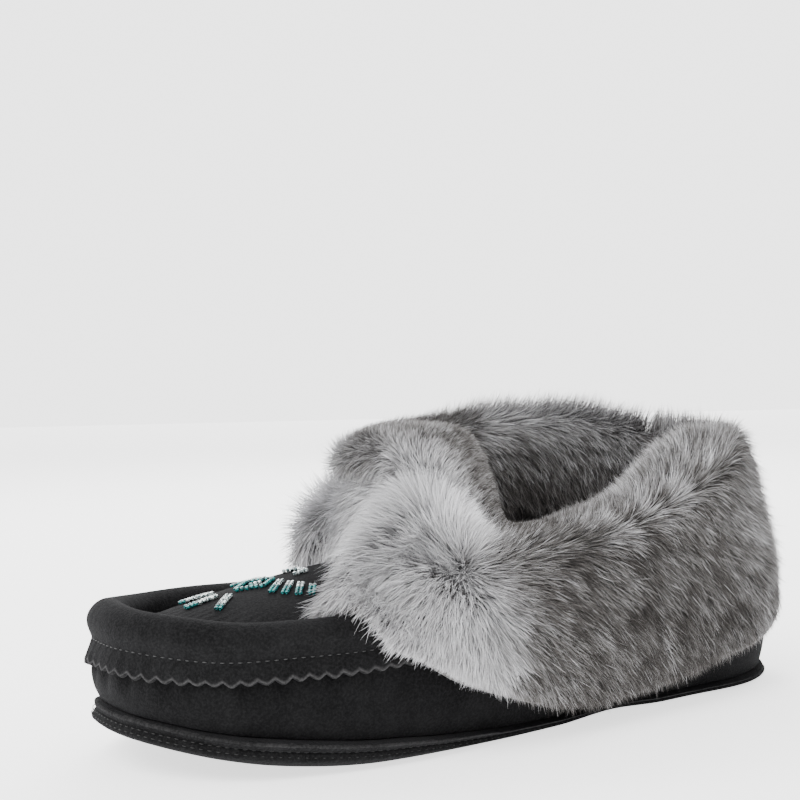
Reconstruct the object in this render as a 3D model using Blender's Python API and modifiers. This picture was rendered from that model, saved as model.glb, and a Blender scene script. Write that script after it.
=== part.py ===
"""A beaded moccasin slipper for the left foot: suede upper, padded sole, beaded apron and deep fur cuff.

Metres, +Z up. The floor is z = 0, the toe points along -Y and the outer side of the foot is +X.
The origin lies on the floor, in the middle of the forefoot's flat spot.
Along the shoe, a share of the length runs from 0 at the back of the heel to 1 at the tip of the toe.
"""

import math

import bmesh
import bpy
import numpy as np
from mathutils import Vector
from mathutils.bvhtree import BVHTree

# Driving sizes of the last
LENGTH = 0.252
BALL_WIDTH = 0.098
HEEL_WIDTH = 0.069
ROLL_HEIGHT = 0.031
ROLL_WIDTH = 0.013
INSTEP_HEIGHT = 0.057
SIDE_HEIGHT = 0.056
HEEL_HEIGHT = 0.062
TOE_SWING = 0.0025

# The mouth of the suede upper
MOUTH_LENGTH = 0.118
MOUTH_WIDTH = 0.060
MOUTH_BACK = 0.013

# Walls and the clearances between pieces
UPPER_WALL = 0.0018
APRON_WALL = 0.0016
SEAT_GAP = 0.0003
FUR_GAP = 0.0007

# The padded sole
SOLE_BAND = 0.009
TOE_SPRING = 0.0105
ARCH_RISE = 0.0012
LIP_REACH = 0.0011
INSOLE_PAD = 0.0042
INSOLE_CLEARANCE = 0.0006

# The pinked edge of the apron's skirt
TOOTH_PITCH = 0.0049
TOOTH_DEPTH = 0.0020
APRON_BACK = 0.47

# The fur cuff
FUR_DEPTH = 0.017
FUR_LOCK = 0.0055
LOCK_SLENDER = 0.55
LOCK_VARIETY = 0.25
FUR_CREST = 0.098
HEM_SLACK = 0.0050
CUFF_ROWS = 15

# Glass beads
BEAD_WIDTH = 0.0019
BEAD_PITCH = 0.0018

# The forefoot's flat spot has the origin at its middle
ORIGIN_SHARE = 0.62

# Stations round the back of the shoe; those round the front follow from the teeth, two to a span
BACK_SPANS = 20

# Shares of the length over which one form gives way to another
BALL_BLEND = (0.15, 0.60)
VAMP_BLEND = (0.50, 0.66)
SWING_BLEND = (0.55, 1.00)

# Powers of the sine that square off the last's outline and the mouth
OUTLINE_SQUARENESS = 0.75
MOUTH_SQUARENESS = 0.9

# How far the sections crowd towards the front of the mouth
MOUTH_CROWDING = 0.55

# Factors of the half width on the outer and inner side, for a share of the length
OUTLINE_COLUMNS = ("share", "outer", "inner")
OUTLINE = (
    (0.00, 1.30, 1.30),
    (0.10, 1.35, 1.34),
    (0.23, 1.12, 1.08),
    (0.40, 0.93, 0.85),
    (0.56, 0.94, 0.88),
    (0.70, 1.07, 1.06),
    (0.82, 1.16, 1.18),
    (0.925, 1.20, 1.22),
    (1.00, 1.05, 1.05),
)

# shoulder is a share of ROLL_HEIGHT, skirt of the shoulder's height, band of SOLE_BAND,
# spring of TOE_SPRING, arch of ARCH_RISE
PROFILE_COLUMNS = ("share", "shoulder", "skirt", "band", "spring", "arch")
PROFILE = (
    (0.00, 1.30, 0.54, 0.44, 0.00, 0.00),
    (0.15, 1.34, 0.54, 0.38, 0.00, 0.00),
    (0.27, 1.38, 0.54, 0.35, 0.00, 0.00),
    (0.37, 1.40, 0.58, 0.35, 0.00, 1.00),
    (0.47, 1.36, 0.62, 0.38, 0.00, 0.00),
    (0.60, 1.26, 0.64, 0.54, 0.00, 0.00),
    (0.72, 1.14, 0.62, 0.86, 0.00, 0.00),
    (0.82, 1.04, 0.58, 1.00, 0.16, 0.00),
    (0.92, 0.94, 0.50, 0.97, 0.55, 0.00),
    (1.00, 0.90, 0.45, 0.92, 1.00, 0.00),
)

# One row for each line round the wall, from the sole to the foot of the roll.
# Rises are shares of the shoulder height, insets are shares of ROLL_WIDTH in from the outline.
SKIRT_RISE = 0.54
WALL_COLUMNS = ("name", "vamp_rise", "vamp_inset", "quarter_rise", "quarter_inset")
WALL = (
    ("feather", 0.00, 0.215, 0.00, 0.170),
    ("lower wall", 0.18, 0.080, 0.16, 0.060),
    ("belly", 0.36, 0.045, 0.33, 0.015),
    ("skirt edge", SKIRT_RISE, 0.110, 0.48, 0.030),
    ("seam", 0.72, 0.245, 0.66, 0.125),
    ("shoulder", 0.89, 0.170, 0.81, 0.200),
    ("outer crest", 1.00, 0.430, 0.90, 0.290),
    ("inner crest", 0.96, 0.755, 0.96, 0.385),
    ("roll foot", 0.78, 1.000, 1.00, 0.475),
)
PLUG_ROWS = 4
PLUG_CROWN = 0.02

# The sole in section, from under the foot out round its side and back over the top.
# Rises are shares of the band, insets are shares of SOLE_BAND, lips are shares of LIP_REACH.
SOLE_COLUMNS = ("name", "rise", "inset", "lip")
SOLE = (
    ("tread", 0.00, 1.44, 0.0),
    ("tread edge", 0.06, 0.61, 0.0),
    ("lower side", 0.20, 0.18, 0.0),
    ("bulge", 0.40, -0.05, 0.0),
    ("upper side", 0.56, 0.00, 0.0),
    ("groove", 0.65, 0.09, 0.0),
    ("lip's lower edge", 0.73, 0.00, 0.9),
    ("lip's upper edge", 0.95, 0.00, 1.0),
    ("top", 1.00, 0.83, 0.0),
)

# The insole in section: rises, and insets from its own edge, as shares of INSOLE_PAD
INSOLE_COLUMNS = ("name", "rise", "inset")
INSOLE = (
    ("underside", 0.0, 0.95),
    ("lower edge", 0.0, 0.00),
    ("side", 0.7, 0.00),
    ("upper edge", 1.0, 0.38),
    ("top", 0.9, 2.86),
)

# The line where the fur starts, as a row of the wall or plug for a share of the length.
# On the outer side it reaches further towards the toe than on the inner side.
HEM_COLUMNS = ("share", "outer", "inner")
HEM = (
    (0.00, 2.60, 2.60),
    (0.05, 2.45, 2.45),
    (0.12, 1.80, 1.80),
    (0.20, 1.45, 1.45),
    (0.32, 0.80, 0.90),
    (0.44, 0.65, 0.70),
    (0.50, 1.00, 1.05),
    (0.56, 1.50, 2.80),
    (0.61, 1.85, 5.20),
    (0.65, 2.30, 7.20),
    (0.69, 3.20, 8.20),
    (0.73, 4.70, 8.90),
    (0.77, 7.20, 9.40),
    (0.82, 9.10, 9.90),
    (0.87, 9.90, 10.30),
    (0.92, 10.40, 10.60),
    (1.00, 10.80, 10.80),
)

# angle round the mouth in degrees from the heel, depth, lower depth, width of the crest's shoulder
# and reach into the mouth as shares of FUR_DEPTH, crest of each side as a share of FUR_CREST.
# The outer side's crest dips to a notch in front of the ankle; the inner side's stays level.
CUFF_COLUMNS = ("angle", "depth", "low_depth", "shoulder", "reach", "outer_crest", "inner_crest")
CUFF = (
    (0.0, 0.14, 0.10, 0.08, 0.28, 0.97, 0.97),
    (45.0, 0.28, 0.18, 0.18, 0.30, 0.98, 0.98),
    (80.0, 0.80, 0.48, 0.42, 0.29, 0.91, 1.00),
    (106.0, 1.00, 0.60, 0.52, 0.29, 0.70, 1.00),
    (130.0, 0.95, 0.60, 0.52, 0.24, 0.65, 0.99),
    (144.0, 1.20, 0.62, 0.75, 0.28, 0.65, 0.99),
    (162.0, 1.95, 1.00, 1.50, 0.34, 0.97, 1.00),
    (180.0, 2.15, 1.20, 1.75, 0.40, 1.01, 1.01),
)

# The cuff's skin in section, from the hem to the mouth.
# On the wall: a share of the way from the hem to the rim, and how much of the full depth it has.
SKIN_WALL_COLUMNS = ("share", "fullness")
SKIN_WALL = (
    (0.08, 0.00),
    (0.34, 0.55),
    (0.66, 0.95),
)
# Over the crest: shares of a size of the cuff out from the rim, or into the mouth when negative,
# and shares of the crest's rise over the rim.
SKIN_CREST_COLUMNS = ("name", "size", "out", "rise")
SKIN_CREST = (
    ("outer swell", "depth", 0.98, 0.56),
    ("outer crest", "shoulder", 1.00, 0.94),
    ("inner crest", "reach", -0.45, 0.88),
    ("inner swell", "reach", -1.00, 0.42),
)
SKIN_RETURN = 0.7
HEM_THICKNESS = 0.0008

# Where the hem crosses the roll the fur stands off by HEM_SLACK, given here as rows of the hem;
# the slack fades over rows past the hem, and a share of it clears the apron's two ends.
ROLL_STARTS = (2.4, 4.2)
ROLL_ENDS = (8.2, 9.6)
SLACK_FADES = (0.8, 3.2)
END_SPANS = 4
END_SLACK = 0.2

# A lock's tip, as shares of its length: out along the skin's normal and down the shoe
LOCK_RISE = 0.75
LOCK_LEAN = 0.8

# Bead rows by their two ends, as shares of the pattern's length back from its start and across it
PATTERN_START = 0.028
PATTERN_LENGTH = 0.041
BEAD_COLUMNS = ("name", "from_along", "from_across", "to_along", "to_across")
BEAD_ROWS = (
    ("ray_middle", 0.00, 0.00, 0.26, 0.00),
    ("ray_outer", 0.15, 0.27, 0.32, 0.09),
    ("ray_inner", 0.07, -0.30, 0.27, -0.12),
    ("wing_outer_1", 0.57, 0.28, 0.73, 0.11),
    ("wing_outer_2", 0.64, 0.36, 0.77, 0.20),
    ("wing_outer_3", 0.72, 0.43, 0.82, 0.27),
    ("wing_outer_4", 0.80, 0.48, 0.88, 0.35),
    ("wing_inner_1", 0.52, -0.30, 0.70, -0.12),
    ("wing_inner_2", 0.53, -0.40, 0.70, -0.24),
    ("wing_inner_3", 0.59, -0.46, 0.71, -0.33),
    ("wing_inner_4", 0.63, -0.52, 0.74, -0.42),
)
HEAD_CORNERS = ((0.40, 0.00), (0.58, 0.13), (0.72, 0.00), (0.56, -0.15))
EYE_ENDS = ((0.51, 0.0), (0.62, 0.0))
TAIL_POINTS = ((0.86, 0.05), (0.98, 0.05), (0.95, -0.14), (0.86, -0.16))

# The pattern's middle line as a share of TOE_SWING, and a string's cut at a corner in bead widths
PATTERN_ASIDE = 0.6
CORNER_CUT = 0.62

# A bead's neck as a share of its radius, and the faces round a string of beads
BEAD_NECK = 0.55
BEAD_SIDES = 6


def clear_scene():
    """Remove everything that the scene holds."""
    for item in list(bpy.data.objects):
        bpy.data.objects.remove(item, do_unlink=True)


def column(table, names, name):
    """One named column of a table as an array."""
    return np.array([row[names.index(name)] for row in table], float)


def follow(table, names, name, at):
    """A smooth reading of one column at a value of the table's first column."""
    keys = column(table, names, names[0])
    values = column(table, names, name)
    slopes = np.gradient(values, keys)
    flat = (np.diff(values) == 0)
    slopes[:-1][flat] = 0.0
    slopes[1:][flat] = 0.0
    at = float(np.clip(at, keys[0], keys[-1]))
    low = int(np.clip(np.searchsorted(keys, at) - 1, 0, len(keys) - 2))
    span = keys[low + 1] - keys[low]
    u = (at - keys[low]) / span
    start, end = values[low], values[low + 1]
    lead, trail = slopes[low] * span, slopes[low + 1] * span
    return ((2 * u**3 - 3 * u**2 + 1) * start + (u**3 - 2 * u**2 + u) * lead
            + (3 * u**2 - 2 * u**3) * end + (u**3 - u**2) * trail)


def ease(low, high, value):
    """Zero below low, one above high and a smooth step between."""
    u = min(max((value - low) / (high - low), 0.0), 1.0)
    return u * u * (3 - 2 * u)


def share_at(angle):
    """Share of the length at an angle round the outline: 0 at the heel, pi at the toe."""
    return 0.5 - 0.5 * math.cos(angle)


def along(share):
    """The Y coordinate at a share of the length."""
    return (ORIGIN_SHARE - share) * LENGTH


def outline_point(angle):
    """A point on the outline of the last, seen from above."""
    share = share_at(angle)
    side = 1.0 if math.sin(angle) >= 0 else -1.0
    ball = ease(*BALL_BLEND, share)
    half = 0.5 * (BALL_WIDTH * ball + HEEL_WIDTH * (1 - ball))
    factor = follow(OUTLINE, OUTLINE_COLUMNS, "outer" if side > 0 else "inner", share)
    across = side * half * factor * abs(math.sin(angle)) ** OUTLINE_SQUARENESS
    across -= TOE_SWING * ease(*SWING_BLEND, share)
    return np.array([across, along(share)])


def outline_normal(angle):
    """The outward direction of the outline, from above."""
    step = 0.02
    chord = outline_point(angle + step) - outline_point(angle - step)
    normal = np.array([-chord[1], chord[0]]) / np.linalg.norm(chord)
    return normal


def stations():
    """Angles round the outline at equal steps, the front first, and the count of spans in the front."""
    fine = np.linspace(0, 2 * math.pi, 1441)
    points = np.array([outline_point(a) for a in fine])
    run = np.concatenate([[0], np.cumsum(np.linalg.norm(np.diff(points, axis=0), axis=1))])
    first = math.acos(1 - 2 * APRON_BACK)
    marks = np.interp([first, 2 * math.pi - first], fine, run)
    spans = 2 * round((marks[1] - marks[0]) / (4 * TOOTH_PITCH))
    front = np.linspace(marks[0], marks[1], spans + 1)
    back = np.linspace(marks[1], marks[0] + run[-1], BACK_SPANS + 1)[1:-1] % run[-1]
    return np.interp(np.concatenate([front, back]), run, fine), spans


def ground(share):
    """Height of the sole's underside at a share of the length."""
    return (TOE_SPRING * follow(PROFILE, PROFILE_COLUMNS, "spring", share)
            + ARCH_RISE * follow(PROFILE, PROFILE_COLUMNS, "arch", share))


def sole_top(share):
    """Height of the sole's upper face at a share of the length."""
    return ground(share) + SOLE_BAND * follow(PROFILE, PROFILE_COLUMNS, "band", share)


def mouth_angle(angle):
    """The angle round the mouth that a section at an angle round the outline runs to."""
    return angle + MOUTH_CROWDING * math.sin(angle)


def mouth_point(angle):
    """A point on the rim of the upper's mouth, and the direction out from it."""
    turn = mouth_angle(angle)
    middle = along(0) - MOUTH_BACK - MOUTH_LENGTH / 2
    side = 1.0 if math.sin(turn) >= 0 else -1.0
    x = side * MOUTH_WIDTH / 2 * abs(math.sin(turn)) ** MOUTH_SQUARENESS
    y = middle + MOUTH_LENGTH / 2 * math.cos(turn)
    front = max(0.0, -math.cos(turn)) ** 2
    back = max(0.0, math.cos(turn)) ** 2
    z = SIDE_HEIGHT + (INSTEP_HEIGHT - SIDE_HEIGHT) * front + (HEEL_HEIGHT - SIDE_HEIGHT) * back
    out = np.array([math.sin(turn) / MOUTH_WIDTH, math.cos(turn) / MOUTH_LENGTH, 0.0])
    return np.array([x, y, z]), out / np.linalg.norm(out)


def upper_grid(angles):
    """Points of the upper's outer face: a row for each angle, from the feather edge to the rim."""
    grid = []
    for angle in angles:
        share = share_at(angle)
        vamp = ease(*VAMP_BLEND, share)
        edge = outline_point(angle)
        normal = outline_normal(angle)
        shoulder = ROLL_HEIGHT * follow(PROFILE, PROFILE_COLUMNS, "shoulder", share)
        skirt = follow(PROFILE, PROFILE_COLUMNS, "skirt", share)
        base = sole_top(share) + SEAT_GAP
        line = []
        for entry in WALL:
            wall = dict(zip(WALL_COLUMNS, entry))
            vamp_rise = np.interp(wall["vamp_rise"], (0, SKIRT_RISE, 1), (0, skirt, 1))
            rise = vamp_rise * vamp + wall["quarter_rise"] * (1 - vamp)
            inset = ROLL_WIDTH * (wall["vamp_inset"] * vamp + wall["quarter_inset"] * (1 - vamp))
            line.append(np.array([*(edge - normal * inset), base + shoulder * rise]))
        foot = line[-1]
        rim = mouth_point(angle)[0]
        reach = np.linalg.norm(rim - foot)
        for step in range(1, PLUG_ROWS + 1):
            u = step / PLUG_ROWS
            point = foot + (rim - foot) * u
            point[2] += PLUG_CROWN * reach * 4 * u * (1 - u)
            line.append(point)
        grid.append(line)
    return np.array(grid)


def offset_directions(grid):
    """Outward directions at a grid's points, scaled so that an offset keeps its faces' distance."""
    build = bmesh.new()
    verts = loft(build, grid, split=True)
    build.normal_update()
    steps = [[list(v.normal * v.calc_shell_factor()) for v in line] for line in verts]
    build.free()
    return np.array(steps)


def on_rows(grid, index, row):
    """A point of one line of a grid at a row that need not be whole."""
    low = int(min(max(math.floor(row), 0), grid.shape[1] - 2))
    u = row - low
    return grid[index, low] * (1 - u) + grid[index, low + 1] * u


def add_object(name, mesh, collection, material):
    """Put a mesh in the scene under a name, with its material."""
    item = bpy.data.objects.new(name, mesh)
    collection.objects.link(item)
    mesh.materials.append(material)
    return item


def make_material(name, colour, roughness, metallic=0.0):
    """A Principled material of one colour."""
    material = bpy.data.materials.new(name)
    material.use_nodes = True
    shader = material.node_tree.nodes["Principled BSDF"]
    shader.inputs["Base Color"].default_value = (*colour, 1.0)
    shader.inputs["Roughness"].default_value = roughness
    shader.inputs["Metallic"].default_value = metallic
    return material


def finish_mesh(build, name):
    """Merge what coincides, point the faces out and turn a bmesh into a mesh."""
    bmesh.ops.remove_doubles(build, verts=build.verts, dist=0.00002)
    bmesh.ops.dissolve_degenerate(build, edges=build.edges, dist=0.00002)
    bmesh.ops.recalc_face_normals(build, faces=build.faces)
    mesh = bpy.data.meshes.new(name)
    build.to_mesh(mesh)
    build.free()
    mesh.shade_smooth()
    mesh.set_sharp_from_angle(angle=math.radians(40))
    return mesh


def fill_span(build, here, there, first, split):
    """Faces between two neighbouring lines, whole or split along one diagonal."""
    for j in range(first, len(here) - 1):
        if split:
            build.faces.new((here[j], there[j + 1], there[j]))
            build.faces.new((here[j], here[j + 1], there[j + 1]))
        else:
            build.faces.new((here[j], here[j + 1], there[j + 1], there[j]))


def loft(build, grid, split=False):
    """Faces between the neighbouring lines of a closed grid; returns its vertices.

    Surfaces that lie on each other are split along the same diagonals, so their gap stays even.
    """
    verts = [[build.verts.new(p) for p in line] for line in grid]
    for i, here in enumerate(verts):
        fill_span(build, here, verts[(i + 1) % len(verts)], 0, split)
    return verts


def bridge_sides(build, ring, order):
    """Close a ring with faces that run straight across the shoe from side to side."""
    count = len(order)
    left, right = 1, count - 1
    build.faces.new((ring[order[0]], ring[order[left]], ring[order[right]]))
    while left + 1 < right:
        lower = (ring[order[left]], ring[order[right]])
        left, right = left + 1, right - 1
        if left == right:
            build.faces.new((lower[0], ring[order[left]], lower[1]))
            return
        build.faces.new((lower[0], ring[order[left]], ring[order[right]], lower[1]))


def make_upper(collection, material, grid):
    """The hollow upper: one open surface, given its wall inward."""
    build = bmesh.new()
    loft(build, grid, split=True)
    item = add_object("upper", finish_mesh(build, "upper"), collection, material)
    wall = item.modifiers.new("wall", "SOLIDIFY")
    wall.thickness = UPPER_WALL
    wall.offset = -1.0
    wall.use_even_offset = True
    return item


def thicken(build, steps_of, thickness):
    """Give an open surface a second face and its rims, each point moved along its own direction."""
    seats = list(build.faces)
    rims = [edge for edge in build.edges if edge.is_boundary]
    over = {}
    for vert in list(build.verts):
        over[vert] = build.verts.new(np.array(vert.co) + steps_of[vert] * thickness)
    for face in seats:
        build.faces.new([over[v] for v in face.verts])
    for edge in rims:
        loop = edge.link_loops[0]
        start, end = loop.vert, loop.link_loop_next.vert
        build.faces.new((end, start, over[start], over[end]))
    bmesh.ops.reverse_faces(build, faces=seats)


def make_apron(collection, material, grid, steps, spans):
    """The apron: rolled rim, sunken plug and pinked skirt, lying on the upper all over."""
    skirt = [entry[0] for entry in WALL].index("skirt edge")
    seat = grid + steps * SEAT_GAP
    build = bmesh.new()
    steps_of = {}
    verts = []
    for i in range(spans + 1):
        line = [build.verts.new(point) for point in seat[i, skirt:]]
        steps_of.update(zip(line, steps[i, skirt:]))
        verts.append(line)
    for i in range(spans):
        here, there = verts[i], verts[i + 1]
        down = seat[i, skirt - 1] - seat[i, skirt] + seat[i + 1, skirt - 1] - seat[i + 1, skirt]
        down *= TOOTH_DEPTH / np.linalg.norm(down)
        halfway = (steps[i, skirt] + steps[i + 1, skirt]) / 2
        start, end = np.array(here[0].co), np.array(there[0].co)
        middle = build.verts.new((start + end) / 2)
        steps_of[middle] = halfway
        build.faces.new((here[0], here[1], there[1], there[0], middle))
        for left, right in ((here[0], middle), (middle, there[0])):
            tip = build.verts.new((np.array(left.co) + np.array(right.co)) / 2 + down)
            steps_of[tip] = halfway
            build.faces.new((left, right, tip))
        fill_span(build, here, there, 1, split=True)
    thicken(build, steps_of, APRON_WALL)
    return add_object("apron", finish_mesh(build, "apron"), collection, material)


def make_outsole(collection, material, angles, order):
    """The padded sole: flat spots below, a round side and a raised lip round its top."""
    rises = column(SOLE, SOLE_COLUMNS, "rise")
    lips = LIP_REACH * column(SOLE, SOLE_COLUMNS, "lip")
    insets = SOLE_BAND * column(SOLE, SOLE_COLUMNS, "inset") - lips
    grid = []
    for angle in angles:
        share = share_at(angle)
        low, high = ground(share), sole_top(share)
        edge, normal = outline_point(angle), outline_normal(angle)
        grid.append([np.array([*(edge - normal * inset), low + (high - low) * rise])
                     for rise, inset in zip(rises, insets)])
    build = bmesh.new()
    verts = loft(build, grid)
    bridge_sides(build, [line[0] for line in verts], order)
    bridge_sides(build, [line[-1] for line in verts], order)
    return add_object("outsole", finish_mesh(build, "outsole"), collection, material)


def make_insole(collection, material, angles, order):
    """The soft sock inside the upper, lying on the sole."""
    wall_foot = ROLL_WIDTH * column(WALL, WALL_COLUMNS, "vamp_inset")[0]
    edge_inset = wall_foot + UPPER_WALL + INSOLE_CLEARANCE
    rises = INSOLE_PAD * column(INSOLE, INSOLE_COLUMNS, "rise")
    insets = edge_inset + INSOLE_PAD * column(INSOLE, INSOLE_COLUMNS, "inset")
    grid = []
    for angle in angles:
        share = share_at(angle)
        base = sole_top(share) + SEAT_GAP
        edge, normal = outline_point(angle), outline_normal(angle)
        grid.append([np.array([*(edge - normal * inset), base + rise])
                     for rise, inset in zip(rises, insets)])
    build = bmesh.new()
    verts = loft(build, grid)
    bridge_sides(build, [line[0] for line in verts], order)
    bridge_sides(build, [line[-1] for line in verts], order)
    return add_object("insole", finish_mesh(build, "insole"), collection, material)


def smooth_chain(points, samples):
    """A smooth chain through points, read at evenly spaced steps."""
    points = np.array(points)
    padded = np.vstack([2 * points[0] - points[1], points, 2 * points[-1] - points[-2]])
    chain = []
    for at in np.linspace(0, len(points) - 1, samples):
        low = min(int(at), len(points) - 2)
        u = at - low
        a, b, c, d = padded[low:low + 4]
        chain.append(0.5 * (2 * b + (c - a) * u + (2 * a - 5 * b + 4 * c - d) * u * u
                            + (3 * b - a - 3 * c + d) * u**3))
    return chain


def hem_row(angle):
    """The row of the wall or plug where the fur starts, at an angle round the outline."""
    side = "outer" if math.sin(angle) >= 0 else "inner"
    return follow(HEM, HEM_COLUMNS, side, share_at(angle))


def cuff_seat(angles, grid, steps, spans):
    """The cuff's inner face, for each angle: it follows the upper, or the apron where that lies on it."""
    last = grid.shape[1] - 1
    lines = []
    for i, angle in enumerate(angles):
        lift = FUR_GAP
        if i <= spans + 1 or i == len(angles) - 1:
            lift += SEAT_GAP + APRON_WALL
        if min(i, abs(i - spans)) < END_SPANS:
            lift += HEM_SLACK * END_SLACK
        hem = hem_row(angle)
        over_roll = ease(*ROLL_STARTS, hem) * (1 - ease(*ROLL_ENDS, hem))
        line = []
        for j in range(last + 1):
            row = max(j, hem)
            slack = HEM_SLACK * over_roll * (1 - ease(*SLACK_FADES, row - hem))
            line.append(on_rows(grid, i, row) + on_rows(steps, i, row) * (lift + slack))
        line[-1] = line[-1] + np.array([0, 0, 2 * FUR_GAP])
        lines.append(line)
    return np.array(lines)


def cuff_skin(angles, grid, steps, seats):
    """The cuff's outer face, for each angle: up from the hem, over the crest and into the mouth."""
    last = grid.shape[1] - 1
    lines = []
    for i, angle in enumerate(angles):
        hem = hem_row(angle)
        turn = math.degrees(mouth_angle(angle) % (2 * math.pi))
        turn = min(turn, 360 - turn)
        side = "outer" if math.sin(angle) >= 0 else "inner"
        crest = FUR_CREST * follow(CUFF, CUFF_COLUMNS, side + "_crest", turn)
        sizes = {name: FUR_DEPTH * follow(CUFF, CUFF_COLUMNS, name, turn)
                 for name in ("depth", "low_depth", "shoulder", "reach")}
        rim, out = mouth_point(angle)
        points = [seats[i, 0] + on_rows(steps, i, hem) * HEM_THICKNESS]
        for share, fullness in SKIN_WALL:
            row = hem + (last - hem) * share
            growth = (sizes["depth"] - sizes["low_depth"]) * fullness
            thick = APRON_WALL + sizes["low_depth"] + growth
            points.append(on_rows(grid, i, row) + on_rows(steps, i, row) * thick)
        rise = crest - rim[2]
        for _, size, outward, upward in SKIN_CREST:
            points.append(rim + out * sizes[size] * outward + np.array([0, 0, rise * upward]))
        points.append(rim - out * sizes["reach"] * SKIN_RETURN + np.array([0, 0, 2 * FUR_GAP]))
        lines.append(smooth_chain(points, CUFF_ROWS))
    return np.array(lines)


def make_cuff(collection, material, angles, grid, steps, spans):
    """The fur cuff: a thick collar over the mouth and quarter, with pointed locks fused on it."""
    seats = cuff_seat(angles, grid, steps, spans)
    skins = cuff_skin(angles, grid, steps, seats)
    build = bmesh.new()
    skin = loft(build, skins)
    skin_faces = list(build.faces)
    seat = loft(build, seats, split=True)
    count = len(angles)
    for i in range(count):
        j = (i + 1) % count
        build.faces.new((skin[i][0], seat[i][0], seat[j][0], skin[j][0]))
        build.faces.new((skin[i][-1], skin[j][-1], seat[j][-1], seat[i][-1]))
    bmesh.ops.recalc_face_normals(build, faces=build.faces)
    rows = skins.shape[1] - 1
    locks = []
    for k, face in enumerate(skin_faces):
        i, j = divmod(k, rows)
        if j == 0 or j == rows - 1:
            continue
        down = Vector(skins[i, j] - skins[i, j + 1]).normalized()
        length = min(FUR_LOCK, LOCK_SLENDER * math.sqrt(face.calc_area()))
        length *= 1 + LOCK_VARIETY * math.sin(2.4 * i + 1.7 * j)
        lean = down * LOCK_LEAN * ease(1, 4, j)
        locks.append((face, face.calc_center_median() + (face.normal * LOCK_RISE + lean) * length))
    for face, tip in locks:
        poked = bmesh.ops.poke(build, faces=[face])
        poked["verts"][0].co = tip
    return add_object("fur_cuff", finish_mesh(build, "fur_cuff"), collection, material)


def surface_under(tree, along_share, across_share):
    """The point and normal of the apron's top under a place in the bead pattern."""
    y = along(1) + PATTERN_START + PATTERN_LENGTH * along_share
    x = -TOE_SWING * PATTERN_ASIDE + PATTERN_LENGTH * across_share
    point, normal, _, _ = tree.ray_cast(Vector((x, y, FUR_CREST)), Vector((0, 0, -1)))
    return point, normal


def bead_string(build, tree, ends, count):
    """Beads threaded from one place to another, touching each other, as one turned body."""
    radius = BEAD_WIDTH / 2
    start, end = (np.array(e) for e in ends)
    seats = []
    for k in range(2 * count + 1):
        place = start + (end - start) * k / (2 * count)
        point, normal = surface_under(tree, *place)
        seats.append((np.array(point), np.array(normal)))
    lift = seats[0][1] + seats[-1][1]
    lift /= np.linalg.norm(lift)
    centres = np.array([point + lift * (radius + SEAT_GAP) for point, normal in seats])
    run = centres[-1] - centres[0]
    run /= np.linalg.norm(run)
    side = np.cross(run, lift)
    rings = []
    for k, centre in enumerate(centres):
        size = radius * (1.0 if k % 2 else BEAD_NECK)
        turn = [2 * math.pi * (n + 0.5) / BEAD_SIDES for n in range(BEAD_SIDES)]
        rings.append([build.verts.new(centre + size * (side * math.cos(a) + lift * math.sin(a)))
                      for a in turn])
    for here, there in zip(rings, rings[1:]):
        for n in range(BEAD_SIDES):
            m = (n + 1) % BEAD_SIDES
            build.faces.new((here[n], here[m], there[m], there[n]))
    build.faces.new(rings[0])
    build.faces.new(rings[-1])


def make_bead_row(collection, material, tree, name, ends):
    """One sewn row of beads between two places in the pattern."""
    build = bmesh.new()
    length = math.dist(*ends) * PATTERN_LENGTH
    bead_string(build, tree, ends, max(2, round(length / BEAD_PITCH)))
    return add_object(name, finish_mesh(build, name), collection, material)


def shorten(start, end, cut):
    """A run between two corners, cut back at both ends."""
    start, end = np.array(start), np.array(end)
    step = (end - start) / np.linalg.norm(end - start) * cut
    return tuple(start + step), tuple(end - step)


def make_beads(collection, teal, white, tree):
    """All bead rows of the pattern: rays, diamond head, eye, wings and tail."""
    for entry in BEAD_ROWS:
        row = dict(zip(BEAD_COLUMNS, entry))
        ends = ((row["from_along"], row["from_across"]), (row["to_along"], row["to_across"]))
        make_bead_row(collection, white, tree, "beads_" + row["name"], ends)
    cut = BEAD_WIDTH * CORNER_CUT / PATTERN_LENGTH
    for k, corner in enumerate(HEAD_CORNERS):
        after = HEAD_CORNERS[(k + 1) % len(HEAD_CORNERS)]
        name = f"beads_head_{k + 1}"
        make_bead_row(collection, teal, tree, name, shorten(corner, after, cut))
    make_bead_row(collection, white, tree, "beads_eye", EYE_ENDS)
    for k, (corner, after) in enumerate(zip(TAIL_POINTS, TAIL_POINTS[1:])):
        name = f"beads_tail_{k + 1}"
        make_bead_row(collection, white, tree, name, shorten(corner, after, cut))


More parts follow.
